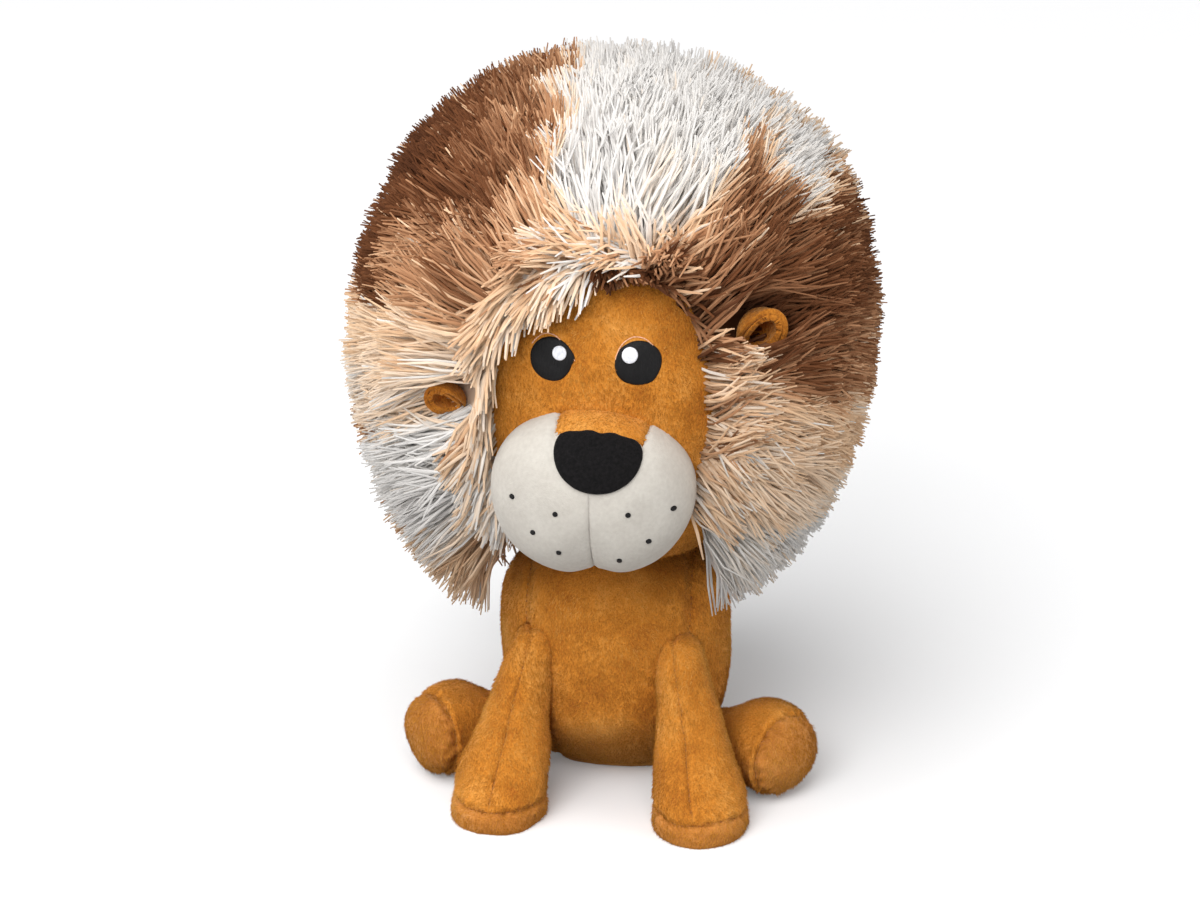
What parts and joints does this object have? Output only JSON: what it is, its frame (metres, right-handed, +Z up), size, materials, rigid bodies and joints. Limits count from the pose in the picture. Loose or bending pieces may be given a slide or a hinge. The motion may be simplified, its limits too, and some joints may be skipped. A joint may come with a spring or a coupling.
{
  "type": "plush lion",
  "caption": "Sitting plush lion with a large shaggy mane round a smooth muzzle, short-pile body, limp legs and a tufted tail.",
  "frame": {"origin": "on the ground, in the middle of the flat base panel that the toy sits on", "axes": "+Z up, the lion faces -Y, and +X is to the right of someone looking at its face"},
  "size_m": [0.1916, 0.2027, 0.283],
  "materials": {
    "tan_plush": "short-pile tan plush",
    "cream_fabric": "smooth cream short-pile fabric",
    "black_patch": "black felt and embroidery",
    "white_thread": "white satin-stitch thread",
    "brown_fur": "long brown pile",
    "beige_fur": "long beige pile",
    "white_fur": "long white pile",
    "fibre_fill": "polyester fibre fill",
    "bag_cloth": "woven bag of plastic pellets"
  },
  "bodies": {
    "torso": {"body_front_panel": "tan_plush", "body_left_panel": "tan_plush", "body_right_panel": "tan_plush", "body_base_panel": "tan_plush", "body_stuffing": "fibre_fill", "pellet_bag": "bag_cloth"},
    "neck": {"neck_seam_ring": "tan_plush"},
    "head": {"head_stuffing": "fibre_fill", "face_panel": "tan_plush", "mane_crown": "white_fur", "mane_left_side": "beige_fur", "mane_right_side": "brown_fur", "mane_back_left": "beige_fur", "mane_back_right": "brown_fur", "muzzle_left_panel": "cream_fabric", "muzzle_right_panel": "cream_fabric", "muzzle_stuffing": "fibre_fill", "nose_bridge_panel": "tan_plush", "nose": "black_patch", "eye_left": "black_patch", "eye_right": "black_patch", "eye_highlight_left": "white_thread", "eye_highlight_right": "white_thread"},
    "ear_left": {"ear_back_left": "tan_plush", "ear_lining_left": "tan_plush"},
    "ear_right": {"ear_back_right": "tan_plush", "ear_lining_right": "tan_plush"},
    "tail": {"tail_cover": "tan_plush", "tail_stuffing": "fibre_fill", "tail_tuft": "brown_fur"},
    "front_leg_left": {"front_leg_left_outer_panel": "tan_plush", "front_leg_left_inner_panel": "tan_plush", "front_leg_left_sole": "tan_plush", "front_leg_left_stuffing": "fibre_fill"},
    "hind_leg_left": {"hind_leg_left_cover": "tan_plush", "hind_leg_left_sole": "tan_plush", "hind_leg_left_stuffing": "fibre_fill"},
    "front_leg_right": {"front_leg_right_outer_panel": "tan_plush", "front_leg_right_inner_panel": "tan_plush", "front_leg_right_sole": "tan_plush", "front_leg_right_stuffing": "fibre_fill"},
    "hind_leg_right": {"hind_leg_right_cover": "tan_plush", "hind_leg_right_sole": "tan_plush", "hind_leg_right_stuffing": "fibre_fill"}
  },
  "joints": [
    {"name": "head_turn", "type": "hinge", "parent": "torso", "child": "neck", "pos_m": [0, 0.002, 0.084], "axis": [0, 0, 1], "range_deg": [-25, 25], "stiffness_Nm_per_rad": 0.6},
    {"name": "head_nod", "type": "hinge", "parent": "neck", "child": "head", "pos_m": [0, 0.002, 0.084], "axis": [1, 0, 0], "range_deg": [-6, 8], "stiffness_Nm_per_rad": 3},
    {"name": "ear_left_fold", "type": "hinge", "parent": "head", "child": "ear_left", "pos_m": [-0.05357, -0.0387, 0.17095], "axis": [0.8019, -0.1706, 0.5726], "range_deg": [-12, 12], "stiffness_Nm_per_rad": 0.004},
    {"name": "front_leg_left_lift", "type": "hinge", "parent": "torso", "child": "front_leg_left", "pos_m": [-0.0325, -0.02798, 0.058], "axis": [-1, 0, 0], "range_deg": [0, 70], "stiffness_Nm_per_rad": 0.05},
    {"name": "hind_leg_left_swing", "type": "hinge", "parent": "torso", "child": "hind_leg_left", "pos_m": [-0.03519, -0.004, 0.017], "axis": [0, 0, -1], "range_deg": [-5, 45], "stiffness_Nm_per_rad": 0.05},
    {"name": "ear_right_fold", "type": "hinge", "parent": "head", "child": "ear_right", "pos_m": [0.05258, -0.03479, 0.20145], "axis": [0.7937, 0.2081, -0.5717], "range_deg": [-12, 12], "stiffness_Nm_per_rad": 0.004},
    {"name": "front_leg_right_lift", "type": "hinge", "parent": "torso", "child": "front_leg_right", "pos_m": [0.0325, -0.02798, 0.058], "axis": [-1, 0, 0], "range_deg": [0, 70], "stiffness_Nm_per_rad": 0.05},
    {"name": "hind_leg_right_swing", "type": "hinge", "parent": "torso", "child": "hind_leg_right", "pos_m": [0.03519, -0.004, 0.017], "axis": [0, 0, 1], "range_deg": [-5, 45], "stiffness_Nm_per_rad": 0.05},
    {"name": "tail_swing", "type": "hinge", "parent": "torso", "child": "tail", "pos_m": [0, 0.0356, 0.014], "axis": [0, 0, 1], "range_deg": [-35, 35], "stiffness_Nm_per_rad": 0.01}
  ]
}
